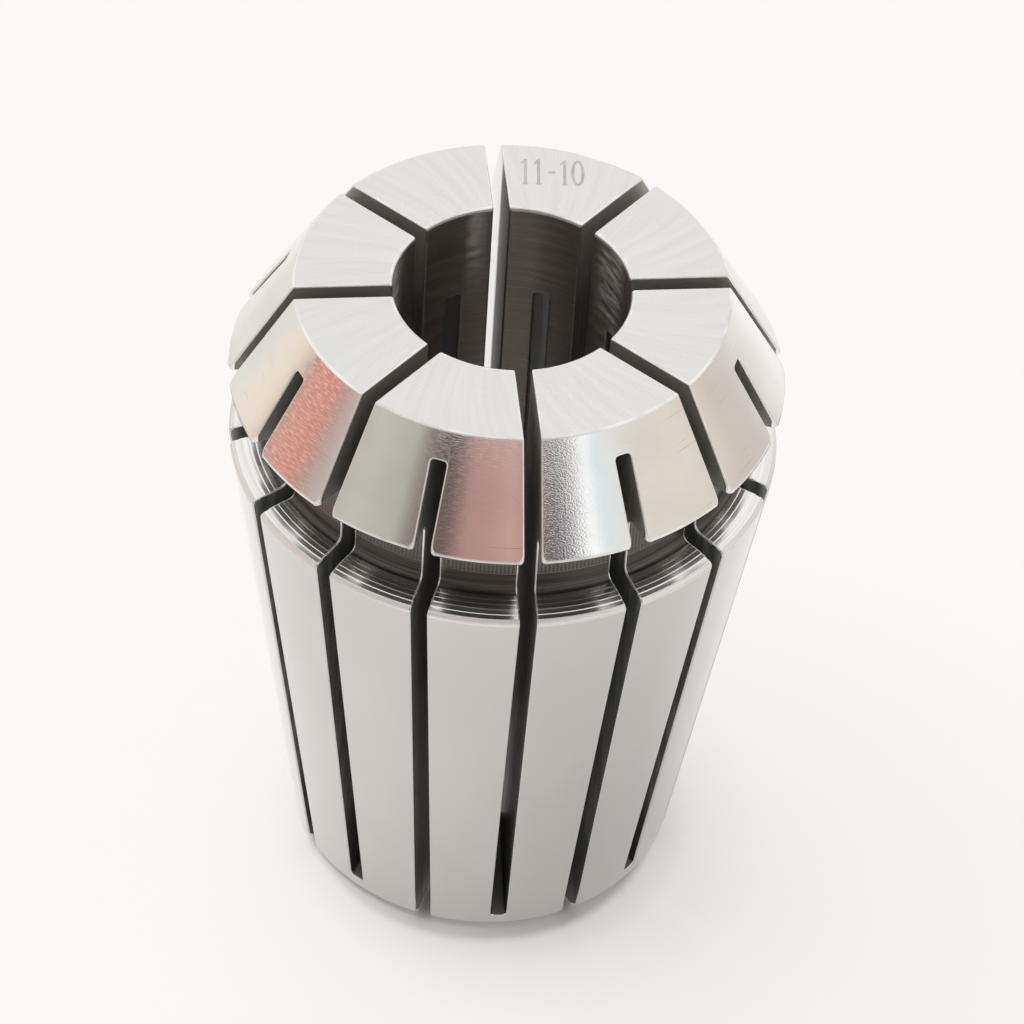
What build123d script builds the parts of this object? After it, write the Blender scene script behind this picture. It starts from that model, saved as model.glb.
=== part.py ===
from build123d import *
from math import radians, sqrt, tan
import os

# Spring collet of the ER 25 size, millimetres, +Z along the axis to the nose.
# The origin is the centre of the tail face, and a nose slot lies on -Y.

# Outer form
collet_diameter = 26.0
collet_length = 34.0
taper_half_angle = 8.0
nose_half_angle = 30.0
nose_cone_length = 5.0
rim_land_height = 0.15
tail_edge_chamfer = 0.5

# Extraction groove between the nose rim and the seat taper
groove_floor_diameter = 22.4
groove_mouth_width = 3.6
groove_corner_radius = 0.4
shoulder_edge_radius = 0.3

# Bore that grips the shank
bore_diameter = 11.0
bore_nose_chamfer = 0.1
bore_tail_chamfer = 0.3

# Slits, cut in turn from the nose and from the tail
slits_per_end = 8
slit_width = 0.75
saw_diameter = 63.0
saw_bore_clearance = 0.5
nose_slit_web = 1.0
tail_slit_web = 1.27

# Radii and levels that follow from the sizes above
rim_radius = collet_diameter / 2
bore_radius = bore_diameter / 2
groove_floor_radius = groove_floor_diameter / 2
taper_slope = tan(radians(taper_half_angle))
nose_slope = tan(radians(nose_half_angle))
nose_face_radius = rim_radius - nose_cone_length * nose_slope
rim_level = collet_length - nose_cone_length
rim_underside_level = rim_level - rim_land_height
taper_top_level = rim_underside_level - groove_mouth_width
tail_radius = rim_radius - taper_top_level * taper_slope

# The groove shoulder stands square to the seat taper
shoulder_foot_level = taper_top_level + (rim_radius - groove_floor_radius) * taper_slope

# Slits are sawn from outside, so each ends in an arc of the saw's edge.
# The saw stops short of the bore's far wall.
saw_radius = saw_diameter / 2
saw_axis_distance = saw_radius - (bore_radius - saw_bore_clearance)
cut_overrun = collet_diameter
slit_pitch = 360 / slits_per_end

nose_slit_end_radius = tail_radius + nose_slit_web * taper_slope
nose_saw_level = nose_slit_web + sqrt(
    saw_radius**2 - (saw_axis_distance - nose_slit_end_radius) ** 2
)
tail_slit_end_radius = nose_face_radius + tail_slit_web * nose_slope
tail_saw_level = (
    collet_length
    - tail_slit_web
    - sqrt(saw_radius**2 - (saw_axis_distance - tail_slit_end_radius) ** 2)
)

# One slit from the nose: the saw's disc at the end of its stroke and the path it left
nose_run = collet_length + cut_overrun - nose_saw_level
with BuildPart() as nose_slit:
    with BuildSketch(Plane.XZ) as nose_slit_sketch:
        with Locations((saw_axis_distance, nose_saw_level)):
            Circle(saw_radius)
            Rectangle(saw_diameter, nose_run, align=(Align.CENTER, Align.MIN))
    extrude(amount=slit_width / 2, both=True)

# One slit from the tail, made the other way up
tail_run = tail_saw_level + cut_overrun
with BuildPart() as tail_slit:
    with BuildSketch(Plane.XZ) as tail_slit_sketch:
        with Locations((saw_axis_distance, tail_saw_level)):
            Circle(saw_radius)
            Rectangle(saw_diameter, tail_run, align=(Align.CENTER, Align.MAX))
    extrude(amount=slit_width / 2, both=True)

with BuildPart() as collet:
    # Turned blank: bore, nose face, nose cone, rim, groove, seat taper and tail
    with BuildSketch(Plane.XZ) as half_section:
        with BuildLine() as outline:
            Polyline(
                (bore_radius, 0),
                (tail_radius, 0),
                (rim_radius, taper_top_level),
                (groove_floor_radius, shoulder_foot_level),
                (groove_floor_radius, rim_underside_level),
                (rim_radius, rim_underside_level),
                (rim_radius, rim_level),
                (nose_face_radius, collet_length),
                (bore_radius, collet_length),
                close=True,
            )
        make_face()
    revolve(axis=Axis.Z)

    # Edge breaks at the tail, at both bore mouths and in the corners of the groove,
    # and the rounded edge where the seat taper meets the groove's shoulder
    circles = collet.edges().filter_by(GeomType.CIRCLE)
    tail_circles = circles.group_by(Axis.Z)[0].sort_by(SortBy.RADIUS)
    nose_bore_circle = circles.group_by(Axis.Z)[-1].sort_by(SortBy.RADIUS)[0]
    groove_circles = circles.filter_by_position(
        Axis.Z, shoulder_foot_level, rim_underside_level
    ).group_by(SortBy.RADIUS)[0]
    shoulder_circle = circles.group_by(SortBy.RADIUS)[-1].sort_by(Axis.Z)[0]
    fillet(groove_circles, radius=groove_corner_radius)
    fillet(shoulder_circle, radius=shoulder_edge_radius)
    chamfer(nose_bore_circle, length=bore_nose_chamfer)
    chamfer(tail_circles[0], length=bore_tail_chamfer)
    chamfer(tail_circles[-1], length=tail_edge_chamfer)

    # Nose slits start on -Y, tail slits lie halfway between them
    with PolarLocations(radius=0, count=slits_per_end, start_angle=-90):
        add(nose_slit.part, mode=Mode.SUBTRACT)
    with PolarLocations(radius=0, count=slits_per_end, start_angle=-90 + slit_pitch / 2):
        add(tail_slit.part, mode=Mode.SUBTRACT)

collet.part.label = "collet"

os.makedirs("parts", exist_ok=True)
export_step(collet.part, "parts/collet.step")
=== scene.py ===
import math

import bmesh
import bpy
from mathutils import Matrix, Vector


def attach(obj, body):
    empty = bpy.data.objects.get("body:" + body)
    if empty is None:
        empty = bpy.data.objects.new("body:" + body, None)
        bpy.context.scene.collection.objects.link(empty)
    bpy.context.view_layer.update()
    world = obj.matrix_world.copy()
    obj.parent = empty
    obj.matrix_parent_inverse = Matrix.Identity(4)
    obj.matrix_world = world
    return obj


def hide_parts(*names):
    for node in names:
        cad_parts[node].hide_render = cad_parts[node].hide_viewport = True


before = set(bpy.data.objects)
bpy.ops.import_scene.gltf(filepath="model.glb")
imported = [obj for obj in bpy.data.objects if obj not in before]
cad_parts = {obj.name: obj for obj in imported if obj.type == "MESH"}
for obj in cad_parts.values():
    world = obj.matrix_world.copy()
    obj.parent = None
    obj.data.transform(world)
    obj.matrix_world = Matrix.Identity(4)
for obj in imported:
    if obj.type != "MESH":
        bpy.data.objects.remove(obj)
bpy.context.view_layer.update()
print("frame loaded:", sorted(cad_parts))

mm = 0.001
scene = bpy.context.scene


def hexColour(code):
    # sRGB hex to the linear colour that shader sockets hold
    channels = [int(code[i:i + 2], 16) / 255 for i in (1, 3, 5)]
    linear = [c / 12.92 if c <= 0.04045 else ((c + 0.055) / 1.055) ** 2.4 for c in channels]
    return (*linear, 1.0)


def addNode(tree, kind, settings=None, values=None, links=None, stops=None):
    # stops are a colour ramp's places and hex colours
    node = tree.nodes.new(kind)
    for name, value in (settings or {}).items():
        setattr(node, name, value)
    for socket, value in (values or {}).items():
        node.inputs[socket].default_value = value
    for socket, source in (links or {}).items():
        tree.links.new(source, node.inputs[socket])
    for index, (place, code) in enumerate(stops or ()):
        elements = node.color_ramp.elements
        element = elements[index] if index < len(elements) else elements.new(place)
        element.position = place
        element.color = hexColour(code)
    return node


rangeEnds = ("From Min", "From Max", "To Min", "To Max")


def newMaterial(name):
    material = bpy.data.materials.new(name)
    material.use_nodes = True
    material.node_tree.nodes.clear()
    return material, material.node_tree


collet = {
    "largestDiameter": 26.0,
    "length": 34.0,
    "taperAngle": 8.0,
    "noseAngle": 30.0,
    "noseConeLength": 5.0,
    "rimLand": 0.15,
    "grooveFloorDiameter": 22.4,
    "grooveMouth": 3.6,
    "grooveCorner": 0.4,
    "shoulderEdge": 0.3,
    "tailChamfer": 0.5,
    "boreDiameter": 11.0,
    "boreNoseBreak": 0.1,
    "boreTailBreak": 0.3,
    "slitsPerEnd": 8,
    "slitWidth": 0.75,
    "sawDiameter": 63.0,
    "sawBoreClearance": 0.5,
    "noseSlitWeb": 1.0,
    "tailSlitWeb": 1.27,
    "sawCorner": 0.17,  # rounded tips of the saw's teeth, left in the slit's blind end
    "edgeBreak": 0.09,
    "rimCorner": 0.28,  # where a slit leaves the rim
    # tool marks turned into the groove
    "feedMarkPitch": 0.26,
    "feedMarkHeight": 0.016,
    "feedMarkZone": 1.05,
    "feedMarkProfile": [(0.72, 1.0), (0.86, 0.55), (1.0, 0.0)],
    "shoulderFall": 0.13,  # how far the marked zone falls away towards its edge
    "plungeLineRise": 1.25,
    "plungeStep": 0.02,
    "faceSwirl": 0.3,  # lean of the nose face's strokes away from the radius
    "patternRadius": 10.0,  # where a pattern's first coordinate is true millimetres
    # mesh fineness
    "columns": 14,
    "arcSteps": 12,
    "filletSteps": 5,
    "rimCornerSteps": 3,
    "edgeBreakSteps": 2,
    # how its faces and edges are told apart
    "sharpFrom": 20.0,  # degrees: edges that turn further are deburred
    "flushWithin": 0.35,  # radians: a rounded face this close to an exact one takes its normal
    "flatFrom": 12,  # faces with more corners than this are the slits' flat walls
    # edges this near the bore's wall and this far below the nose face are stained like the bore
    "stainedReach": 0.2,
    "stainedBelow": 0.4,
}

# Places across a slit's blind end, as shares of half its width each way
slitColumns = [-1, -0.95, -0.86, -0.72, -0.4, 0.4, 0.72, 0.86, 0.95, 1]

finishes = [
    "tailFace", "tailChamfer", "taper", "shoulderEdge", "shoulder", "groove", "rim", "noseCone",
    "noseFace", "boreBreak", "bore", "slit", "brightSlit", "rimCorner", "edge", "bodyEdge",
    "boreEdge",
]


def colletLevels(c):
    # Radii and heights that follow from the driving sizes
    slope = math.tan(math.radians(c["taperAngle"]))
    noseSlope = math.tan(math.radians(c["noseAngle"]))
    rim = c["largestDiameter"] / 2
    levels = {
        "slope": slope,
        "rim": rim,
        "bore": c["boreDiameter"] / 2,
        "floor": c["grooveFloorDiameter"] / 2,
        "rimTop": c["length"] - c["noseConeLength"],
        "nose": rim - c["noseConeLength"] * noseSlope,
    }
    levels["underside"] = levels["rimTop"] - c["rimLand"]
    levels["taperTop"] = levels["underside"] - c["grooveMouth"]
    levels["tail"] = rim - levels["taperTop"] * slope
    levels["noseSlitOut"] = levels["tail"] + c["noseSlitWeb"] * slope
    levels["tailSlitOut"] = levels["nose"] + c["tailSlitWeb"] * noseSlope
    return levels


def sawPlace(c, levels, end):
    # Centre of the slitting saw's disc, in the slit's own plane, at the end of its stroke
    radius = c["sawDiameter"] / 2
    across = radius - (levels["bore"] - c["sawBoreClearance"])
    out = math.sqrt(levels[end + "SlitOut"] ** 2 - (c["slitWidth"] / 2) ** 2)
    rise = math.sqrt(radius ** 2 - (across - out) ** 2)
    if end == "nose":
        return across, c["noseSlitWeb"] + rise, -1
    return across, c["length"] - c["tailSlitWeb"] - rise, 1


def sawReach(c, place, outward):
    # Height of the saw's edge at a distance from the axis
    across, height, side = place
    radius = c["sawDiameter"] / 2
    return height + side * math.sqrt(radius ** 2 - (across - outward) ** 2)


def sectionOutline(c, levels):
    # Closed outline of the wall as (radius, height, finish up to the next point), and the
    # points that slits and marks start from. It runs from the bore's tail end round the outside.
    points = []
    marks = {}
    taper = math.radians(c["taperAngle"])
    half = c["slitWidth"] / 2
    bore, tail, rim, floor = levels["bore"], levels["tail"], levels["rim"], levels["floor"]

    def put(radius, height, finish, mark=None):
        if mark:
            marks[mark] = len(points)
        points.append((radius, height, finish))

    put(bore + c["boreTailBreak"], 0, "tailFace")
    put(tail - c["tailChamfer"], 0, "tailChamfer")
    chamferRise = c["tailChamfer"] * math.cos(taper)
    put(tail + c["tailChamfer"] * math.sin(taper), chamferRise, "taper")
    put(levels["noseSlitOut"], c["noseSlitWeb"], "taper", "noseSlitOut")

    # Rounded outer edge of the shoulder, which stands square to the taper
    along = (math.sin(taper), math.cos(taper))
    inward = (-math.cos(taper), math.sin(taper))
    edge, fall, zone = c["shoulderEdge"], c["shoulderFall"], c["feedMarkZone"]
    lean = math.atan(2 * fall / zone)
    drop = fall - edge * (1 - math.cos(lean))

    def putOnShoulder(reach, depth, finish, mark=None):
        # A point this far in from the taper's line and this far below the shoulder's plane
        put(
            rim + reach * inward[0] - depth * along[0],
            levels["taperTop"] + reach * inward[1] - depth * along[1],
            finish, mark,
        )

    for step in range(c["filletSteps"] + 1):
        turn = (math.pi / 2 - lean) * step / c["filletSteps"]
        putOnShoulder(
            edge * (1 - math.cos(turn)), drop + edge * (1 - math.sin(turn)),
            "shoulderEdge" if step < c["filletSteps"] else "shoulder",
        )

    # Feed marks left by turning: shallow steps on the part of the shoulder that falls away
    first = edge * (1 - math.sin(lean))
    markCount = int(zone / c["feedMarkPitch"])
    for mark in range(markCount):
        for phase, share in c["feedMarkProfile"]:
            within = (mark + phase) * c["feedMarkPitch"]
            putOnShoulder(
                first + within,
                fall * (1 - within / zone) ** 2 + c["feedMarkHeight"] * share, "shoulder",
            )

    # Lower corner of the groove, its floor with the step between two plunges, upper corner
    corner = c["grooveCorner"]
    centreRadius = floor + corner
    shoulderAtCentre = levels["taperTop"] + (rim - centreRadius) * levels["slope"]
    centreHeight = shoulderAtCentre + corner / math.cos(taper)

    def putCorner(height, first, sweep):
        for step in range(c["filletSteps"] + 1):
            turn = first + sweep * step / c["filletSteps"]
            put(centreRadius + corner * math.cos(turn), height + corner * math.sin(turn), "groove")

    putCorner(centreHeight, -math.pi / 2 - taper, taper - math.pi / 2)
    plunge = levels["taperTop"] + c["plungeLineRise"]
    put(floor, plunge, "groove", "plunge")
    put(floor + c["plungeStep"], plunge + 1.5 * c["plungeStep"], "groove")
    putCorner(levels["underside"] - corner, math.pi, -math.pi / 2)

    put(rim, levels["underside"], "rim", "underside")
    put(rim, levels["rimTop"], "noseCone", "rimTop")
    put(levels["tailSlitOut"], c["length"] - c["tailSlitWeb"], "noseCone", "tailSlitOut")
    put(levels["nose"], c["length"], "noseFace", "nose")
    put(bore + c["boreNoseBreak"], c["length"], "boreBreak")
    put(bore, c["length"] - c["boreNoseBreak"], "bore", "boreTop")
    inner = math.sqrt(bore ** 2 - half ** 2)
    put(bore, sawReach(c, sawPlace(c, levels, "tail"), inner), "bore", "tailSlitBore")
    put(bore, sawReach(c, sawPlace(c, levels, "nose"), inner), "bore", "noseSlitBore")
    put(bore, c["boreTailBreak"], "boreBreak")
    return points, marks


def outlineRun(outline):
    # Distance along the outline at each of its points, which is the patterns' second coordinate
    run = [0.0]
    for i, (radius, height, _) in enumerate(outline):
        nextRadius, nextHeight, _ = outline[(i + 1) % len(outline)]
        run.append(run[-1] + math.hypot(nextRadius - radius, nextHeight - height))
    return run


def buildColletMesh(c):
    levels = colletLevels(c)
    outline, marks = sectionOutline(c, levels)
    along = outlineRun(outline)
    count = len(outline)
    sectors = 2 * c["slitsPerEnd"]
    sweep = 2 * math.pi / sectors
    start = math.pi / 2
    half = c["slitWidth"] / 2
    around = c["patternRadius"]

    bm = bmesh.new()
    uvLayer = bm.loops.layers.uv.new("surfaceMm")

    def vertexAt(x, y, z):
        return bm.verts.new((x * mm, y * mm, z * mm))

    def addFace(corners, finish):
        # corners are (vertex, (u, v)) pairs
        face = bm.faces.new([vertex for vertex, _ in corners])
        face.material_index = finishes.index(finish)
        lean = c["faceSwirl"] if finish == "noseFace" else 0.0
        for loop, (_, (u, v)) in zip(face.loops, corners):
            loop[uvLayer].uv = (u + lean * (v - along[marks["nose"]]), v)

    def addStrip(rowA, rowB, usA, usB, vA, vB, finish):
        # Quads between two rows of vertices, whose pattern places are u along and v across
        for k in range(len(rowA) - 1):
            addFace([
                (rowA[k], (usA[k], vA)), (rowA[k + 1], (usA[k + 1], vA)),
                (rowB[k + 1], (usB[k + 1], vB)), (rowB[k], (usB[k], vB)),
            ], finish)

    def between(first, last):
        # Outline points from one to another, running on past the list's end
        return [i % count for i in range(first, last + (count if last < first else 0) + 1)]

    def wallPlace(i):
        # A point of the outline on a slit's flat wall, as distance outward and height
        return math.sqrt(outline[i][0] ** 2 - half ** 2), outline[i][1]

    def tipRise(y):
        # How far the saw's rounded tooth tips leave the blind end short at a place across it
        over = abs(y) - (half - c["sawCorner"])
        if over <= 0:
            return 0.0
        return c["sawCorner"] - math.sqrt(max(0.0, c["sawCorner"] ** 2 - over ** 2))

    def slideUp(i, rise):
        # A point of the outline slid towards the slit's open end, along its own surface
        radius, height, _ = outline[i]
        if i == marks["noseSlitOut"]:
            return radius + rise * levels["slope"], height + rise
        if i == marks["tailSlitOut"]:
            return radius + rise * math.tan(math.radians(c["noseAngle"])), height - rise
        return radius, height + (rise if i == marks["noseSlitBore"] else -rise)

    # Fingers: the whole outline swept between the walls of two neighbouring slits
    blindEnds = {
        "nose": (marks["noseSlitOut"], marks["noseSlitBore"]),
        "tail": (marks["tailSlitOut"], marks["tailSlitBore"]),
    }
    endOf = ["nose" if s % 2 == 0 else "tail" for s in range(sectors)]
    grid = []
    for s in range(sectors):
        first = start + s * sweep
        rows, turns = [], []
        for i, (radius, height, _) in enumerate(outline):
            places = []
            for k in range(c["columns"] + 1):
                r, z = radius, height
                side = s if k == 0 else (s + 1) % sectors
                if k in (0, c["columns"]) and i in blindEnds[endOf[side]]:
                    r, z = slideUp(i, tipRise(half))
                inset = math.asin(half / r)
                low, high = first + inset, first + sweep - inset
                places.append((r, z, low + (high - low) * k / c["columns"]))
            turns.append([a * around for _, _, a in places])
            rows.append([vertexAt(r * math.cos(a), r * math.sin(a), z) for r, z, a in places])
        grid.append(rows)
        for i in range(count):
            j = (i + 1) % count
            addStrip(rows[i], rows[j], turns[i], turns[j], along[i], along[i + 1], outline[i][2])

    # Slits: the web left at the closed end, the arc of the saw and the two flat walls
    acrossAt = [half * share for share in slitColumns]
    for b in range(sectors):
        end = endOf[b]
        slitFinish = "brightSlit" if b == 0 else "slit"  # the one opposite the front was recut
        upward = 1 if end == "nose" else -1
        place = sawPlace(c, levels, end)
        outAt, boreAt = blindEnds[end]
        webStart, webEnd = (boreAt, outAt) if end == "nose" else (outAt, boreAt)
        angle = start + b * sweep
        before, after = grid[b - 1], grid[b]
        rowsAcross = {}

        def webRow(i):
            if i not in rowsAcross:
                row = [before[i][-1]]
                for y in acrossAt[1:-1]:
                    radius, height = outline[i][:2]
                    if i in (outAt, boreAt):
                        radius, height = slideUp(i, tipRise(y))
                    a = angle + math.asin(y / radius)
                    row.append(vertexAt(radius * math.cos(a), radius * math.sin(a), height))
                rowsAcross[i] = row + [after[i][0]]
            return rowsAcross[i]

        web = between(webStart, webEnd)
        for i, j in zip(web, web[1:]):
            across = [(angle + math.asin(y / outline[i][0])) * around for y in acrossAt]
            addStrip(webRow(i), webRow(j), across, across, along[i], along[i + 1], outline[i][2])

        outX, boreX = wallPlace(outAt)[0], wallPlace(boreAt)[0]
        arcPlaces = []
        arcRows = [webRow(outAt)]
        cosA, sinA = math.cos(angle), math.sin(angle)
        for step in range(1, c["arcSteps"]):
            x = outX + (boreX - outX) * step / c["arcSteps"]
            z = sawReach(c, place, x)
            arcPlaces.append((x, z))
            arcRows.append([
                vertexAt(x * cosA - y * sinA, x * sinA + y * cosA, z + upward * tipRise(y))
                for y in acrossAt
            ])
        arcRows.append(webRow(boreAt))
        for step in range(c["arcSteps"]):
            addStrip(
                arcRows[step], arcRows[step + 1], acrossAt, acrossAt,
                (outX - boreX) * step / c["arcSteps"], (outX - boreX) * (step + 1) / c["arcSteps"],
                slitFinish,
            )

        for rows, column, arcColumn in ((before, -1, 0), (after, 0, -1)):
            ring = [(rows[i][column], wallPlace(i)) for i in between(webEnd, webStart)]
            inside = [
                (arcRows[step + 1][arcColumn], arcPlaces[step]) for step in range(c["arcSteps"] - 1)
            ]
            if end == "nose":
                inside.reverse()
            addFace(ring + inside, slitFinish)

    bmesh.ops.recalc_face_normals(bm, faces=bm.faces)

    def bevel(edges, width, steps, finish):
        bmesh.ops.bevel(
            bm, geom=edges, offset=width * mm, segments=steps, offset_type="OFFSET", profile=0.5,
            affect="EDGES", clamp_overlap=False, material=finishes.index(finish),
        )

    # Corners where a slit leaves the rim are rounded first
    corners = []
    for edge in bm.edges:
        kinds = {finishes[face.material_index] for face in edge.link_faces}
        if "rim" in kinds and kinds & {"slit", "brightSlit"}:
            corners.append(edge)
    bevel(corners, c["rimCorner"], c["rimCornerSteps"], "rimCorner")

    # Then every outer corner between two finishes is lightly deburred
    sharp = [
        edge for edge in bm.edges
        if len(edge.link_faces) == 2 and edge.is_convex
        and edge.link_faces[0].material_index != edge.link_faces[1].material_index
        and edge.calc_face_angle() > math.radians(c["sharpFrom"])
    ]
    bevel(sharp, c["edgeBreak"], c["edgeBreakSteps"], "edge")

    # Edges in the bore are stained like it, and those below the groove were ground with the taper
    stainedRadius, stainedTop = levels["bore"] + c["stainedReach"], c["length"] - c["stainedBelow"]
    for face in bm.faces:
        if face.material_index != finishes.index("edge"):
            continue
        middle = face.calc_center_median() / mm
        if math.hypot(middle.x, middle.y) < stainedRadius and middle.z < stainedTop:
            face.material_index = finishes.index("boreEdge")
        elif middle.z < levels["taperTop"]:
            face.material_index = finishes.index("bodyEdge")

    openEdges = sum(1 for edge in bm.edges if len(edge.link_faces) != 2)
    mesh = bpy.data.meshes.new("colletBody")
    bm.to_mesh(mesh)
    bm.free()
    print("collet mesh:", len(mesh.polygons), "faces,", openEdges, "open edges")
    setTrueNormals(mesh, c)
    return mesh


def setTrueNormals(mesh, c):
    # Ground cones and flats mirror cleanly only if each corner holds the exact normal
    taper = math.radians(c["taperAngle"])
    nose = math.radians(c["noseAngle"])
    exact = {
        "tailFace": (0, -1), "taper": (math.cos(taper), -math.sin(taper)),
        "rim": (1, 0), "noseCone": (math.cos(nose), math.sin(nose)),
        "noseFace": (0, 1), "bore": (-1, 0),
    }
    broken = {finishes.index(name) for name in ("edge", "bodyEdge", "boreEdge")}
    touching = {}
    for face in mesh.polygons:
        kind = face.material_index
        for vertex in face.vertices:
            sums = touching.setdefault(vertex, {})
            sums[kind] = sums.get(kind, Vector()) + face.normal * face.area

    def exactNormal(vertex, kind):
        outward, up = exact[finishes[kind]]
        co = mesh.vertices[vertex].co
        flat = Vector((co.x, co.y, 0)).normalized()
        return Vector((flat.x * outward, flat.y * outward, up))

    def normalFor(vertex, kind):
        if finishes[kind] in exact:
            return exactNormal(vertex, kind)
        own = touching[vertex][kind].normalized()
        for other in touching[vertex]:
            if finishes[other] in exact:
                flush = exactNormal(vertex, other)
                if own.angle(flush) < c["flushWithin"]:
                    own = flush
        return own

    corners = [None] * len(mesh.loops)
    for face in mesh.polygons:
        kind = face.material_index
        for loop in face.loop_indices:
            vertex = mesh.loops[loop].vertex_index
            if len(face.vertices) > c["flatFrom"]:
                corners[loop] = face.normal.copy()
                continue
            # A broken edge takes the mean of the surfaces that it lies between
            others = [k for k in touching[vertex] if k not in broken] if kind in broken else []
            near = [normalFor(vertex, k) for k in others or [kind]]
            corners[loop] = sum(near, Vector()).normalized()
    for face in mesh.polygons:
        face.use_smooth = True
    mesh.normals_split_custom_set(corners)


def surfacePlace(tree):
    # The surface's own millimetres: X runs round the axis, Y along the wall's outline
    place = addNode(tree, "ShaderNodeUVMap", settings={"uv_map": "surfaceMm"})
    return addNode(tree, "ShaderNodeSeparateXYZ", links={"Vector": place.outputs["UV"]})


def cutMarks(tree, lengthMm, widthMm, detail=3.0, seed=0.0):
    # Irregular marks in the surface's own millimetres, drawn out along the cut
    place = addNode(tree, "ShaderNodeUVMap", settings={"uv_map": "surfaceMm"})
    scaled = addNode(
        tree, "ShaderNodeMapping",
        values={"Scale": (1 / lengthMm, 1 / widthMm, 1), "Location": (seed, seed * 1.7, 0)},
        links={"Vector": place.outputs["UV"]},
    )
    noise = addNode(
        tree, "ShaderNodeTexNoise", settings={"noise_dimensions": "2D"},
        values={"Scale": 1.0, "Detail": detail}, links={"Vector": scaled.outputs["Vector"]},
    )
    return noise.outputs["Fac"]


def finishSteel(tree, colour, roughness, heights=(), metallic=1.0):
    # heights are (pattern, depth in mm) pairs, each pressed into the surface by its own depth
    normal = {}
    for pattern, depth in heights:
        bump = addNode(
            tree, "ShaderNodeBump", values={"Strength": 1.0, "Distance": depth * mm},
            links={"Height": pattern, **normal},
        )
        normal = {"Normal": bump.outputs["Normal"]}
    shader = addNode(
        tree, "ShaderNodeBsdfPrincipled", values={"Metallic": metallic},
        links={"Base Color": colour, "Roughness": roughness, **normal},
    )
    addNode(tree, "ShaderNodeOutputMaterial", links={"Surface": shader.outputs["BSDF"]})
    return shader


markBand = (0.3, 0.7)  # where a pattern of marks counts as weak and as strong


def finishMarkedSteel(tree, colour, marks, look, heights=()):
    # The same, with the look's roughness for weak marks and for strong ones
    rough = addNode(
        tree, "ShaderNodeMapRange", links={"Value": marks},
        values=dict(zip(rangeEnds, markBand + look["rough"])),
    )
    metallic = look.get("metallic", 1.0)
    return finishSteel(tree, colour, rough.outputs["Result"], heights, metallic)


shoulderLook = {
    "marks": (7.0, 0.1, 3.0, 0.0), "depth": 0.0002,
    "colours": [(0.35, "#E2E1DD"), (0.65, "#F2F1EE")],
}

# Finishes of hardened spring steel that follow one set of marks, which are (length round the
# axis, length along the outline, detail, seed). Some have a second set, tint, for the colour.
plainLooks = {
    # Face ground with a cup wheel: a soft even grey with faint broad strokes that fan outward
    # and a few finer ones among them. Their lighter and darker greys are partly the grinding and
    # partly painted highlights, the streaks that fine rings throw.
    "groundSpringSteelFace": {
        "marks": (0.12, 6.0, 2.0, 3.3), "tint": (0.5, 6.0, 2.0, 0.0), "depth": 0.00025,
        "colours": [(0.3, "#E5E3E0"), (0.75, "#DFDDDA")], "rough": (0.24, 0.32),
    },
    # Taper ground and lightly oiled: an even satin with hardly a mark, and a film of oil that
    # brightens it towards the sides
    "groundSpringSteelTaper": {
        "marks": (10.0, 0.12, 3.0, 0.0), "tint": (4.0, 8.0, 2.0, 2.1), "depth": 0.0002,
        "colours": [(0.3, "#CDCCC9"), (0.7, "#C9C8C4")], "rough": (0.2, 0.25),
        "film": {
            "Coat Weight": 1.0, "Coat Roughness": 0.08, "Coat IOR": 1.55,
            "Sheen Weight": 0.35, "Sheen Roughness": 0.25,
        },
    },
    # Shoulder turned and left bright: the feed marks catch the light as thin lines where the
    # sky shows in them, and the rest mirrors the dark groove
    "turnedSpringSteelShoulder": {**shoulderLook, "rough": (0.22, 0.15)},
    # Its outer edge, softened by handling
    "softenedSpringSteelShoulderEdge": {**shoulderLook, "rough": (0.62, 0.55)},
    # Edges broken with a stone: narrow bright lines, a little uneven
    "stonedSpringSteelEdge": {
        "marks": (1.5, 1.5, 3.0, 0.0),
        "colours": [(0.4, "#F2F1EE"), (0.75, "#DCDAD6")], "rough": (0.34, 0.5),
    },
    # Small end faced on a lathe: fine rings about the axis
    "facedSpringSteelTail": {
        "marks": (8.0, 0.12, 3.0, 0.0), "depth": 0.002,
        "colours": [(0.35, "#CFCDC9"), (0.7, "#BDBAB5")], "rough": (0.24, 0.36),
    },
}


def plainSteel(name):
    look = plainLooks[name]
    material, tree = newMaterial(name)
    marks = cutMarks(tree, *look["marks"])
    tint = cutMarks(tree, *look["tint"]) if "tint" in look else marks
    colour = addNode(tree, "ShaderNodeValToRGB", links={"Fac": tint}, stops=look["colours"])
    heights = [(marks, look["depth"])] if "depth" in look else []
    shader = finishMarkedSteel(tree, colour.outputs["Color"], marks, look, heights)
    for socket, value in look.get("film", {}).items():
        shader.inputs[socket].default_value = value
    return material


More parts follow.
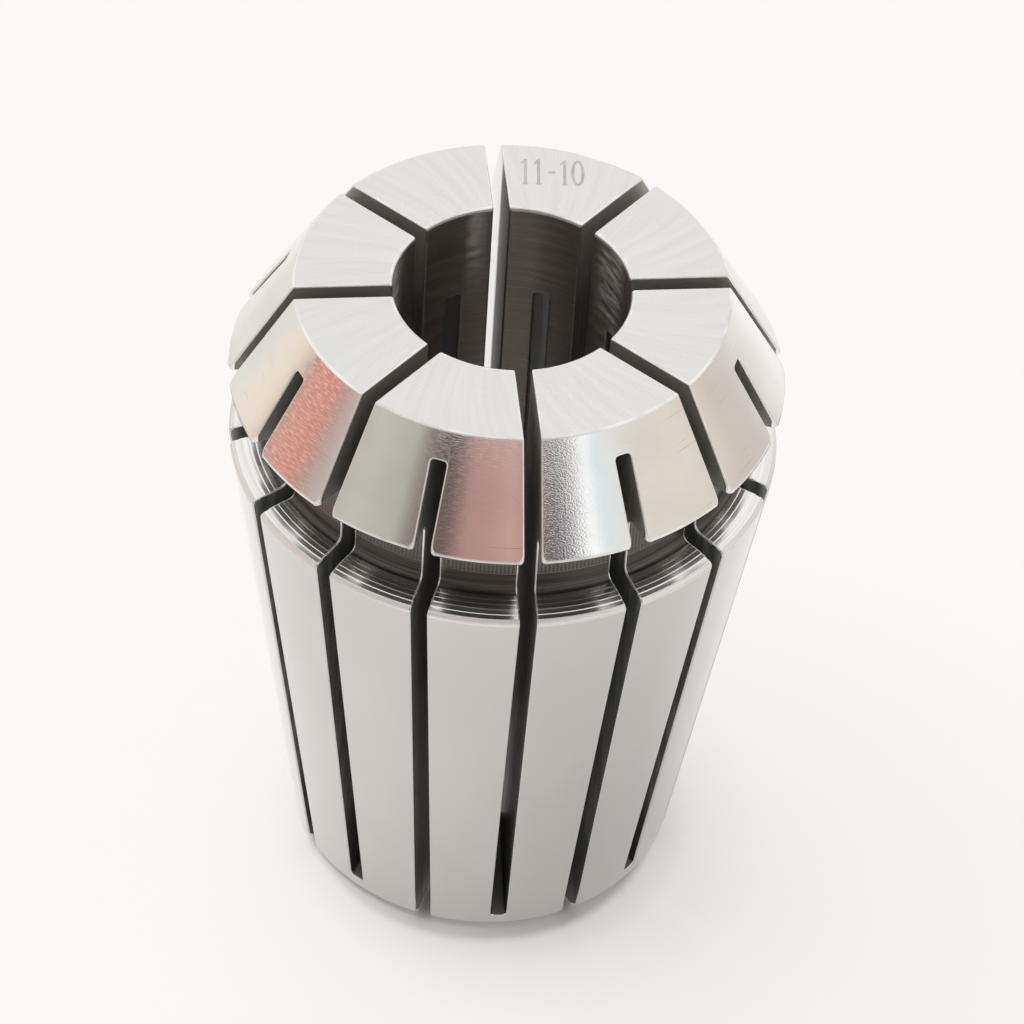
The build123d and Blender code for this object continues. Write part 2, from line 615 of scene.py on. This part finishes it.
def groundNoseConeSteel():
    # Hardened spring steel, cylindrically ground to a near mirror. On a few fingers the wheel
    # left a sandy grain or short ripples, which break the reflections into specks and streaks.
    # Along the ripples the colour is painted too: painted highlights on their crests and
    # painted shade in their troughs.
    # The grain is drawn at 0.07 mm, a few times coarser than the real one. The two strengths
    # are greys that run round the cone from the left finger to the right.
    look = {
        "bright": "#E9E8E5", "dull": "#E2E1DE", "haze": (3.0, 3.0, 2.0, 9.1), "rough": (0.07, 0.14),
        "sweep": (30.0, 56.0),
        "grain": (0.0792, 0.066, 1.2, 4.3), "grainDepth": 0.0075,
        "grainStrength": [
            (0.64, "#404040"), (0.67, "#FFFFFF"), (0.72, "#FFFFFF"), (0.77, "#202020"),
        ],
        "ripples": (0.36, 0.055, 2.0, 0.0), "rippleDepth": 0.0055,
        # painted shade in the ripples' troughs and painted highlight on their crests
        "rippleHighlightAndShade": [(0.46, "#D6CEC8"), (0.72, "#FFFFFF")],
        "rippleStrength": [
            (0.2, "#303030"), (0.22, "#FFFFFF"), (0.29, "#FFFFFF"), (0.33, "#303030"),
            (0.48, "#303030"), (0.5, "#A0A0A0"), (0.545, "#909090"), (0.57, "#303030"),
            (1.0, "#202020"),
        ],
        "scratches": (2.6, 0.06, 0.0, 7.7), "scratchBand": (0.86, 0.94), "scratch": "#CBC6C0",
    }
    material, tree = newMaterial("groundSpringSteelNose")
    turn = addNode(
        tree, "ShaderNodeMapRange", links={"Value": surfacePlace(tree).outputs["X"]},
        values=dict(zip(rangeEnds, look["sweep"])),
    )
    marks = cutMarks(tree, *look["ripples"])
    reliefs, strengths = [], {}
    for kind, pattern in (("grain", cutMarks(tree, *look["grain"])), ("ripple", marks)):
        strengths[kind] = addNode(
            tree, "ShaderNodeValToRGB", links={"Fac": turn.outputs["Result"]},
            stops=look[kind + "Strength"],
        ).outputs["Color"]
        relief = addNode(
            tree, "ShaderNodeMath", settings={"operation": "MULTIPLY"},
            links={0: pattern, 1: strengths[kind]},
        )
        reliefs.append((relief.outputs["Value"], look[kind + "Depth"]))
    clean = addNode(
        tree, "ShaderNodeValToRGB", links={"Fac": cutMarks(tree, *look["haze"])},
        stops=[(0.35, look["bright"]), (0.7, look["dull"])],
    )
    # Painted highlight and painted shade along the ripples, where the ripple strength allows
    lines = addNode(tree, "ShaderNodeValToRGB", links={"Fac": marks}, stops=look["rippleHighlightAndShade"])
    withPaintedRippleLight = addNode(
        tree, "ShaderNodeMix", settings={"data_type": "RGBA"},
        links={
            "Factor": strengths["ripple"], "A": clean.outputs["Color"], "B": lines.outputs["Color"],
        },
    )
    scratches = addNode(
        tree, "ShaderNodeMapRange", links={"Value": cutMarks(tree, *look["scratches"])},
        values=dict(zip(rangeEnds, look["scratchBand"])),
    )
    colour = addNode(
        tree, "ShaderNodeMix", settings={"data_type": "RGBA"},
        values={"B": hexColour(look["scratch"])},
        links={"Factor": scratches.outputs["Result"], "A": withPaintedRippleLight.outputs["Result"]},
    )
    finishMarkedSteel(tree, colour.outputs["Result"], marks, look, reliefs)
    return material


def plungedGrooveSteel(plungeAt):
    # Spring steel, plunged with a form tool before hardening: furnace scale and oil keep it
    # nearly black, with fine upright chatter above the line where two plunges meet, its
    # ribs rubbed a little lighter.
    look = {
        "scale": "#4A4944", "worn": "#62605A", "rubbed": "#6E6965", "rough": (0.3, 0.42),
        "marks": (5.0, 0.08), "depth": 0.002,
        "chatterPitch": 0.165, "chatterDepth": 0.006, "chatterFade": 0.1,
        # the lighter line on the step, partly bare steel and partly a painted highlight, in broken
        # lengths: its rise above the step, half its height and its patches
        "line": "#9A968E", "lineRise": 0.02, "lineHalf": 0.035, "lineBreaks": (0.3, 0.3, 3.0, 6.0),
    }
    bandAtScaleOne = 0.314  # width of one band of the wave texture at scale 1
    material, tree = newMaterial("plungedSpringSteelGroove")
    split = surfacePlace(tree)
    place = addNode(tree, "ShaderNodeUVMap", settings={"uv_map": "surfaceMm"})
    lines = cutMarks(tree, *look["marks"])
    worn = addNode(
        tree, "ShaderNodeValToRGB", links={"Fac": lines},
        stops=[(0.4, look["scale"]), (0.72, look["worn"])],
    )
    chatter = addNode(
        tree, "ShaderNodeTexWave", settings={"wave_type": "BANDS", "bands_direction": "X"},
        values={
            "Scale": bandAtScaleOne / look["chatterPitch"], "Distortion": 1.2, "Detail": 1.0,
            "Detail Scale": 2.0,
        },
        links={"Vector": place.outputs["UV"]},
    )
    above = addNode(
        tree, "ShaderNodeMapRange", links={"Value": split.outputs["Y"]},
        values={"From Min": plungeAt, "From Max": plungeAt + look["chatterFade"]},
    )
    # Lighter colour along the step: partly bare steel, partly a painted highlight
    onLine = addNode(
        tree, "ShaderNodeMath", settings={"operation": "COMPARE"},
        values={1: plungeAt + look["lineRise"], 2: look["lineHalf"]}, links={0: split.outputs["Y"]},
    )
    colour = worn.outputs["Color"]
    shares = {}
    for tint, pattern, where in (
        ("rubbed", chatter.outputs["Fac"], above.outputs["Result"]),
        ("line", onLine.outputs["Value"], cutMarks(tree, *look["lineBreaks"])),
    ):
        shares[tint] = addNode(
            tree, "ShaderNodeMath", settings={"operation": "MULTIPLY"},
            links={0: pattern, 1: where},
        ).outputs["Value"]
        colour = addNode(
            tree, "ShaderNodeMix", settings={"data_type": "RGBA"},
            values={"B": hexColour(look[tint])}, links={"Factor": shares[tint], "A": colour},
        ).outputs["Result"]
    reliefs = [(lines, look["depth"]), (shares["rubbed"], look["chatterDepth"])]
    finishMarkedSteel(tree, colour, lines, look, reliefs)
    return material


def boredSteel(topAt):
    # Spring steel, bored and hardened, with oil dried on: an even dark brown with fine rings
    # from the boring tool. In three places below the nose it is painted lighter and rougher,
    # partly smears and partly painted highlights, and there the matt steel catches the light
    # from the mouth.
    look = {
        "stain": "#B9B1A9", "clean": "#C9C3BC", "rough": (0.32, 0.42),
        "rings": (6.0, 0.14), "depth": 0.001,
        # each lighter place, smear and painted highlight: where it is round the bore, its half
        # width and how far down it goes
        "places": [(17.8, 1.1, 6.5), (67.3, 2.8, 13.0), (28.3, 2.2, 9.0)],
        "core": 0.3,  # share of a place that is lighter all across
        "smearsAndHighlights": "#E6E3DF", "smearsAndHighlightsRough": 0.66,
        "patchStreaks": (2.6, 0.36, 3.0, 5.2), "patchStreakBand": (0.22, 0.66),
    }
    material, tree = newMaterial("boredSpringSteelBore")
    rings = cutMarks(tree, *look["rings"])
    split = surfacePlace(tree)
    smearsAndHighlights = {}
    for middle, halfWidth, down in look["places"]:
        aside = addNode(
            tree, "ShaderNodeMath", settings={"operation": "SUBTRACT"}, values={1: middle},
            links={0: split.outputs["X"]},
        )
        offset = addNode(
            tree, "ShaderNodeMath", settings={"operation": "ABSOLUTE"},
            links={0: aside.outputs["Value"]},
        )
        across = addNode(
            tree, "ShaderNodeMapRange", links={"Value": offset.outputs["Value"]},
            values={"From Min": halfWidth, "From Max": halfWidth * look["core"]},
        )
        depth = addNode(
            tree, "ShaderNodeMapRange", links={"Value": split.outputs["Y"]},
            values={"From Min": topAt + down, "From Max": topAt + down * look["core"]},
        )
        here = addNode(
            tree, "ShaderNodeMath", settings={"operation": "MULTIPLY_ADD"}, values={2: 0.0},
            links={0: across.outputs["Result"], 1: depth.outputs["Result"], **smearsAndHighlights},
        )
        smearsAndHighlights = {2: here.outputs["Value"]}
    streaks = addNode(
        tree, "ShaderNodeMapRange", links={"Value": cutMarks(tree, *look["patchStreaks"])},
        values=dict(zip(rangeEnds, look["patchStreakBand"])),
    )
    smearsAndHighlightsHere = addNode(
        tree, "ShaderNodeMath", settings={"operation": "MULTIPLY"},
        links={0: smearsAndHighlights[2], 1: streaks.outputs["Result"]},
    )
    oiled = addNode(
        tree, "ShaderNodeValToRGB", links={"Fac": rings},
        stops=[(0.45, look["stain"]), (0.75, look["clean"])],
    )
    # Smears and painted highlights lighten the oiled colour in those places
    colour = addNode(
        tree, "ShaderNodeMix", settings={"data_type": "RGBA"},
        values={"B": hexColour(look["smearsAndHighlights"])},
        links={"Factor": smearsAndHighlightsHere.outputs["Value"], "A": oiled.outputs["Color"]},
    )
    ringRough = addNode(
        tree, "ShaderNodeMapRange", links={"Value": rings},
        values=dict(zip(rangeEnds, markBand + look["rough"])),
    )
    rough = addNode(
        tree, "ShaderNodeMapRange", values={"To Max": look["smearsAndHighlightsRough"]},
        links={"Value": smearsAndHighlightsHere.outputs["Value"], "To Min": ringRough.outputs["Result"]},
    )
    finishSteel(tree, colour.outputs["Result"], rough.outputs["Result"], [(rings, look["depth"])])
    return material


def sawnSlitSteel():
    # Spring steel, slit with a thin saw and then hardened: dark furnace oxide with a hint of
    # green, a little warmer through the nose, and the shallow arcs of the saw's teeth. Towards
    # the tail it is painted darker, as painted shade where the slits come down to the table.
    look = {
        "oxide": "#8E9089", "worn": "#ABACA5", "rough": (0.38, 0.52), "metallic": 0.75,
        # each tint, and the painted shade, sets in from its first height to its second
        "tintAndPaintedShade": [("#B2B1A7", (28.8, 30.2)), ("#53554F", (7.0, 1.8))],
        "arcs": (0.22, 5.0, 2.0, 1.4), "depth": 0.003,
    }
    material, tree = newMaterial("sawnSpringSteelSlit")
    arcs = cutMarks(tree, *look["arcs"])
    split = surfacePlace(tree)
    colour = addNode(
        tree, "ShaderNodeValToRGB", links={"Fac": arcs},
        stops=[(0.35, look["oxide"]), (0.7, look["worn"])],
    ).outputs["Color"]
    for tint, heights in look["tintAndPaintedShade"]:
        near = addNode(
            tree, "ShaderNodeMapRange", links={"Value": split.outputs["Y"]},
            values=dict(zip(rangeEnds, heights)),
        )
        colour = addNode(
            tree, "ShaderNodeMix", settings={"data_type": "RGBA"}, values={"B": hexColour(tint)},
            links={"Factor": near.outputs["Result"], "A": colour},
        ).outputs["Result"]
    finishMarkedSteel(tree, colour, arcs, look, [(arcs, look["depth"])])
    return material


def recutSlitSteel():
    # One slit was cut again after hardening: bright smooth steel, still stained next to the
    # bore up to where the first cut stopped. The wall's limits are distances from the axis,
    # and the stain's are shares of the way between them.
    look = {
        "wall": (5.0, 13.0), "stainBand": (0.43, 0.53), "roughBand": (0.45, 0.1),
        "stain": "#8A8278", "line": "#55504A", "clean": "#D2D2CF", "bright": "#E6E6E3",
        "arcs": (0.4, 7.0, 2.0, 1.4), "depth": 0.0003,
    }
    material, tree = newMaterial("recutSpringSteelSlit")
    outward = addNode(
        tree, "ShaderNodeMapRange", links={"Value": surfacePlace(tree).outputs["X"]},
        values=dict(zip(rangeEnds, look["wall"])),
    )
    stainEnd, cleanStart = look["stainBand"]
    colour = addNode(
        tree, "ShaderNodeValToRGB", links={"Fac": outward.outputs["Result"]},
        stops=[
            (stainEnd, look["stain"]), (0.46, look["line"]), (0.49, look["line"]),
            (cleanStart, look["clean"]), (1.0, look["bright"]),
        ],
    )
    rough = addNode(
        tree, "ShaderNodeMapRange", links={"Value": outward.outputs["Result"]},
        values=dict(zip(rangeEnds, look["stainBand"] + look["roughBand"])),
    )
    arcs = cutMarks(tree, *look["arcs"])
    finishSteel(tree, colour.outputs["Color"], rough.outputs["Result"], [(arcs, look["depth"])])
    return material


outlinePoints, outlineMarks = sectionOutline(collet, colletLevels(collet))
runAt = outlineRun(outlinePoints)
tailSteel, edgeSteel = plainSteel("facedSpringSteelTail"), plainSteel("stonedSpringSteelEdge")
taperSteel = plainSteel("groundSpringSteelTaper")
boreSteel = boredSteel(runAt[outlineMarks["boreTop"]])
materialOf = {
    "tailFace": tailSteel, "tailChamfer": tailSteel, "taper": taperSteel,
    "shoulderEdge": plainSteel("softenedSpringSteelShoulderEdge"),
    "shoulder": plainSteel("turnedSpringSteelShoulder"),
    "groove": plungedGrooveSteel(runAt[outlineMarks["plunge"]]),
    "rim": edgeSteel, "rimCorner": edgeSteel, "edge": edgeSteel, "boreBreak": edgeSteel,
    "bodyEdge": taperSteel, "bore": boreSteel, "boreEdge": boreSteel,
    "noseCone": groundNoseConeSteel(), "noseFace": plainSteel("groundSpringSteelFace"),
    "slit": sawnSlitSteel(), "brightSlit": recutSlitSteel(),
}

colletBody = bpy.data.objects.new("colletBody", buildColletMesh(collet))
scene.collection.objects.link(colletBody)
for finish in finishes:
    colletBody.data.materials.append(materialOf[finish])
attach(colletBody, "root")
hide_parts("collet")
print("collet built")


# Size numbers on the nose face, in millimetres on that face: the shanks it takes, from and to
sizeMark = {
    "strokeWidth": 0.15,
    "thickness": 0.004,
    "sunk": 0.25,  # share of the thickness that lies in the face
    "height": 1.8,
    "ones": [1.36, 1.98, 3.22],  # each one's upright, along the line of figures
    "flag": (0.14, 0.24, 0.14),  # reach, drop and depth of the flag at its top
    "foot": (0.13, 0.09),
    "dash": (2.44, 2.76),
    "zero": (3.84, 0.24, 0.84),  # centre, half width, half height
    "start": (0.0, 8.2),  # the line's mid height at its left end
    "lean": -5.0,
    "zeroSteps": 32,
}


def laserMarkedSteel():
    # Ground steel burnt by a marking laser: a faint matt grey, a little patchy.
    look = {"burnt": "#B8B6B2", "faint": "#D0CDC8", "rough": (0.42, 0.52), "patch": 0.6}
    material, tree = newMaterial("laserMarkedSpringSteel")
    place = addNode(tree, "ShaderNodeTexCoord")
    patches = addNode(
        tree, "ShaderNodeTexNoise", values={"Scale": 1 / (look["patch"] * mm), "Detail": 2.0},
        links={"Vector": place.outputs["Object"]},
    )
    colour = addNode(
        tree, "ShaderNodeValToRGB", links={"Fac": patches.outputs["Fac"]},
        stops=[(0.35, look["burnt"]), (0.7, look["faint"])],
    )
    finishMarkedSteel(tree, colour.outputs["Color"], patches.outputs["Fac"], look)
    return material


def buildSizeMark(m, c):
    bm = bmesh.new()
    turn = math.radians(m["lean"])
    base = c["length"] - m["thickness"] * m["sunk"]
    top, half = m["height"] / 2, m["strokeWidth"] / 2

    def ring(points, level):
        placed = []
        for x, y in points:
            px = m["start"][0] + x * math.cos(turn) - y * math.sin(turn)
            py = m["start"][1] + x * math.sin(turn) + y * math.cos(turn)
            placed.append(bm.verts.new((px * mm, py * mm, level * mm)))
        return placed

    def wall(lower, upper):
        for i in range(len(lower)):
            j = (i + 1) % len(lower)
            bm.faces.new((lower[i], lower[j], upper[j], upper[i]))

    def plate(points):
        # A thin closed plate with this outline
        lower, upper = ring(points, base), ring(points, base + m["thickness"])
        bm.faces.new(lower)
        bm.faces.new(upper)
        wall(lower, upper)

    reach, drop, deep = m["flag"]
    footHalf, footHeight = m["foot"]
    for x in m["ones"]:
        plate([
            (x - footHalf, -top), (x + footHalf, -top), (x + footHalf, -top + footHeight),
            (x + half, -top + footHeight), (x + half, top), (x - half / 2, top),
            (x - half - reach, top - drop), (x - half - reach, top - drop - deep),
            (x - half, top - drop), (x - half, -top + footHeight),
            (x - footHalf, -top + footHeight),
        ])
    start, stop = m["dash"]
    plate([(start, -half), (stop, -half), (stop, half), (start, half)])

    # The nought is a ring, so its two faces are strips between an outer and an inner oval
    middle, halfWidth, halfHeight = m["zero"]
    ovals = []
    for offset in (half, -half):
        points = [
            (middle + (halfWidth + offset) * math.cos(a), (halfHeight + offset) * math.sin(a))
            for a in (2 * math.pi * i / m["zeroSteps"] for i in range(m["zeroSteps"]))
        ]
        ovals.append((ring(points, base), ring(points, base + m["thickness"])))
    (outerLow, outerHigh), (innerLow, innerHigh) = ovals
    wall(outerLow, outerHigh)
    wall(innerLow, innerHigh)
    wall(outerLow, innerLow)
    wall(outerHigh, innerHigh)
    bmesh.ops.recalc_face_normals(bm, faces=bm.faces)
    mesh = bpy.data.meshes.new("sizeMark")
    bm.to_mesh(mesh)
    bm.free()
    mesh.materials.append(laserMarkedSteel())
    return mesh


markPiece = bpy.data.objects.new("sizeMark", buildSizeMark(sizeMark, collet))
scene.collection.objects.link(markPiece)
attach(markPiece, "root")
print("size mark built")


surroundings = {
    "floorSize": 3.0,
    "floorGap": 0.00001,  # keeps the table's face apart from the tail's
    "floorColour": "#FCF9F7",
    # Share of the table's white that shadows don't reach, as greys at distances from the
    # painted shadow's centre in metres: none under the part, little beside it, so the table is
    # painted darker round the part as a painted shadow. The steel mirrors its own share.
    "glow": [(0.0085, "#000000"), (0.009, "#ACACAC"), (0.0109, "#CCCCCC"), (0.0145, "#DADADA")],
    "paintedShadowCentre": (-0.0002, -0.0015, 0.0),
    "glowInSteel": 0.35,
    "skyColour": "#FFFFFF",
    "skyStrength": 0.49,
    "sunStrength": 1.8,
    "sunWidth": 56.0,  # degrees across, so shadows stay soft
    "sunFrom": (-0.4, 0.36, 1.0),
    "boardRadius": 0.07,
    "boardHeight": 0.053,
    "boardFoot": 0.02,  # the middle boards stand clear of the table by this
    "raisedBoards": (-100, 75),
    "boardSteps": 180,
    "boardStrength": 1.25,
    "cameraBody": "#6E6B67",
    "cameraBodySize": (0.2, 0.13),
}

# Low boards round the table, seen only in the steel: colours at azimuths from the front
boards = [
    (-140, "#DCDDD8"), (-128, "#DDDDD8"), (-118, "#E6DDD5"), (-108, "#E6DACB"), (-99, "#C8A59F"),
    (-95, "#D8A599"), (-84, "#D69B90"), (-79, "#BC9E99"), (-71, "#BDB4AF"), (-58, "#BEBDB4"),
    (-43, "#B2B1A8"), (-38, "#8D847F"), (-30, "#685955"), (-25, "#705F5C"), (-18, "#AE8C88"),
    (-8, "#B9918C"), (-3, "#C29B95"), (4, "#A88D8A"), (9, "#5E5455"), (14, "#696367"),
    (20, "#AFAFB4"), (23, "#FFFFFF"), (26, "#FFFFFF"), (30, "#DAE6EB"), (36, "#DFE2E0"),
    (46, "#DCD6CF"), (66, "#DDD6CE"), (79, "#D6CCC3"), (88, "#CDC3BC"), (100, "#CDC7C2"),
    (117, "#E4E1DD"), (134, "#F4F5F6"),
]


def buildFloor(s):
    mesh = bpy.data.meshes.new("table")
    h = s["floorSize"] / 2
    low = -s["floorGap"]
    mesh.from_pydata([(-h, -h, low), (h, -h, low), (h, h, low), (-h, h, low)], [], [(0, 1, 2, 3)])
    material, tree = newMaterial("mattWhiteTable")
    path = addNode(tree, "ShaderNodeLightPath")
    place = addNode(tree, "ShaderNodeTexCoord")
    # Less glow near the part paints a shadow round it on the table
    away = addNode(
        tree, "ShaderNodeVectorMath", settings={"operation": "DISTANCE"},
        values={1: s["paintedShadowCentre"]}, links={0: place.outputs["Object"]},
    )
    reach = s["glow"][-1][0]
    distance = addNode(
        tree, "ShaderNodeMapRange", values={"From Max": reach},
        links={"Value": away.outputs["Value"]},
    )
    glowAroundPaintedShadow = addNode(
        tree, "ShaderNodeValToRGB", links={"Fac": distance.outputs["Result"]},
        stops=[(far / reach, code) for far, code in s["glow"]],
    )
    seen = addNode(
        tree, "ShaderNodeMath", settings={"operation": "MULTIPLY"},
        links={0: path.outputs["Is Camera Ray"], 1: glowAroundPaintedShadow.outputs["Color"]},
    )
    share = addNode(
        tree, "ShaderNodeMath", settings={"operation": "MULTIPLY_ADD"},
        values={1: s["glowInSteel"]},
        links={0: path.outputs["Is Glossy Ray"], 2: seen.outputs["Value"]},
    )
    matt = addNode(tree, "ShaderNodeBsdfDiffuse", values={"Color": hexColour(s["floorColour"])})
    glow = addNode(tree, "ShaderNodeEmission", values={"Color": hexColour(s["floorColour"])})
    both = addNode(
        tree, "ShaderNodeMixShader",
        links={0: share.outputs["Value"], 1: matt.outputs["BSDF"], 2: glow.outputs["Emission"]},
    )
    addNode(tree, "ShaderNodeOutputMaterial", links={"Surface": both.outputs["Shader"]})
    mesh.materials.append(material)
    floor = bpy.data.objects.new("table", mesh)
    scene.collection.objects.link(floor)


def showInSteelOnly(piece):
    for ray in ("camera", "diffuse", "shadow", "transmission"):
        setattr(piece, "visible_" + ray, False)
    scene.collection.objects.link(piece)


def buildBoards(s, boards):
    steps = s["boardSteps"]
    bm = bmesh.new()
    rings = []
    low, high = s["raisedBoards"]
    for top in (False, True):
        ring = []
        for i in range(steps):
            azimuth = -180 + 360 * i / steps
            foot = s["boardFoot"] if low < azimuth < high else 0.0
            ring.append(bm.verts.new((
                s["boardRadius"] * math.sin(math.radians(azimuth)),
                -s["boardRadius"] * math.cos(math.radians(azimuth)),
                s["boardHeight"] if top else foot,
            )))
        rings.append(ring)
    uvLayer = bm.loops.layers.uv.new("azimuth")
    for i in range(steps):
        j = (i + 1) % steps
        face = bm.faces.new((rings[0][i], rings[0][j], rings[1][j], rings[1][i]))
        for loop, (u, v) in zip(face.loops, ((i, 0), (i + 1, 0), (i + 1, 1), (i, 1))):
            loop[uvLayer].uv = (u / steps, v)
    mesh = bpy.data.meshes.new("boards")
    bm.to_mesh(mesh)
    bm.free()
    stops = [((azimuth + 180) / 360, code) for azimuth, code in boards]
    material, tree = newMaterial("colouredBoards")
    place = addNode(tree, "ShaderNodeUVMap", settings={"uv_map": "azimuth"})
    split = addNode(tree, "ShaderNodeSeparateXYZ", links={"Vector": place.outputs["UV"]})
    ramp = addNode(tree, "ShaderNodeValToRGB", links={"Fac": split.outputs["X"]}, stops=stops)
    glow = addNode(
        tree, "ShaderNodeEmission", values={"Strength": s["boardStrength"]},
        links={"Color": ramp.outputs["Color"]},
    )
    addNode(tree, "ShaderNodeOutputMaterial", links={"Surface": glow.outputs["Emission"]})
    mesh.materials.append(material)
    showInSteelOnly(bpy.data.objects.new("boards", mesh))


def buildCameraBody(s, place, forward):
    # The dark camera and hands that the steel mirrors from above the front
    mesh = bpy.data.meshes.new("cameraBody")
    w, h = s["cameraBodySize"][0] / 2, s["cameraBodySize"][1] / 2
    mesh.from_pydata([(-w, -h, 0), (w, -h, 0), (w, h, 0), (-w, h, 0)], [], [(0, 1, 2, 3)])
    material, tree = newMaterial("darkPlasticCamera")
    glow = addNode(tree, "ShaderNodeEmission", values={"Color": hexColour(s["cameraBody"])})
    addNode(tree, "ShaderNodeOutputMaterial", links={"Surface": glow.outputs["Emission"]})
    mesh.materials.append(material)
    body = bpy.data.objects.new("cameraBody", mesh)
    body.location = place
    body.rotation_euler = (-forward).to_track_quat("Z", "Y").to_euler()
    showInSteelOnly(body)


eye = {
    "noseCentre": (0.0, 0.0, 34.0),
    "distance": 237.2,
    "elevation": 41.94,
    "azimuth": -7.64,
    "aim": (0.668, -0.090, 19.529),
    "roll": 3.81,
    "lens": 181.0,
    "sensor": 36.0,
}


def placeCamera(e):
    height = math.radians(e["elevation"])
    side = math.radians(e["azimuth"])
    nose = Vector(e["noseCentre"])
    place = nose + e["distance"] * Vector((
        math.sin(side) * math.cos(height), -math.cos(side) * math.cos(height), math.sin(height),
    ))
    forward = (Vector(e["aim"]) - place).normalized()
    right = forward.cross(Vector((0, 0, 1))).normalized()
    up = right.cross(forward)
    roll = math.radians(e["roll"])
    rightTurned = math.cos(roll) * right + math.sin(roll) * up
    upTurned = -math.sin(roll) * right + math.cos(roll) * up
    data = bpy.data.cameras.new("camera")
    data.lens = e["lens"]
    data.sensor_width = e["sensor"]
    data.clip_start = 0.01
    data.clip_end = 20
    camera = bpy.data.objects.new("camera", data)
    scene.collection.objects.link(camera)
    turn = Matrix((rightTurned, upTurned, -forward)).transposed().to_4x4()
    camera.matrix_world = Matrix.Translation(place * mm) @ turn
    scene.camera = camera
    return place * mm, forward


cameraPlace, cameraForward = placeCamera(eye)
scene.view_settings.view_transform = "Standard"
print("camera placed")

buildFloor(surroundings)
buildBoards(surroundings, boards)
buildCameraBody(surroundings, cameraPlace, cameraForward)

world = bpy.data.worlds.new("softSky")
scene.world = world
world.use_nodes = True
skyTree = world.node_tree
background = skyTree.nodes["Background"]
background.inputs["Color"].default_value = hexColour(surroundings["skyColour"])
skyPath = addNode(skyTree, "ShaderNodeLightPath")
skySeen = addNode(
    skyTree, "ShaderNodeMath", settings={"operation": "MAXIMUM"},
    links={0: skyPath.outputs["Is Camera Ray"], 1: skyPath.outputs["Is Glossy Ray"]},
)
skyLevel = addNode(
    skyTree, "ShaderNodeMapRange", links={"Value": skySeen.outputs["Value"]},
    values={"To Min": surroundings["skyStrength"]},
)
skyTree.links.new(skyLevel.outputs["Result"], background.inputs["Strength"])

sunData = bpy.data.lights.new("softSun", "SUN")
sunData.energy = surroundings["sunStrength"]
sunData.angle = math.radians(surroundings["sunWidth"])
sun = bpy.data.objects.new("softSun", sunData)
scene.collection.objects.link(sun)
sun.visible_glossy = False
sun.rotation_euler = Vector(surroundings["sunFrom"]).to_track_quat("Z", "Y").to_euler()
print("surroundings built")
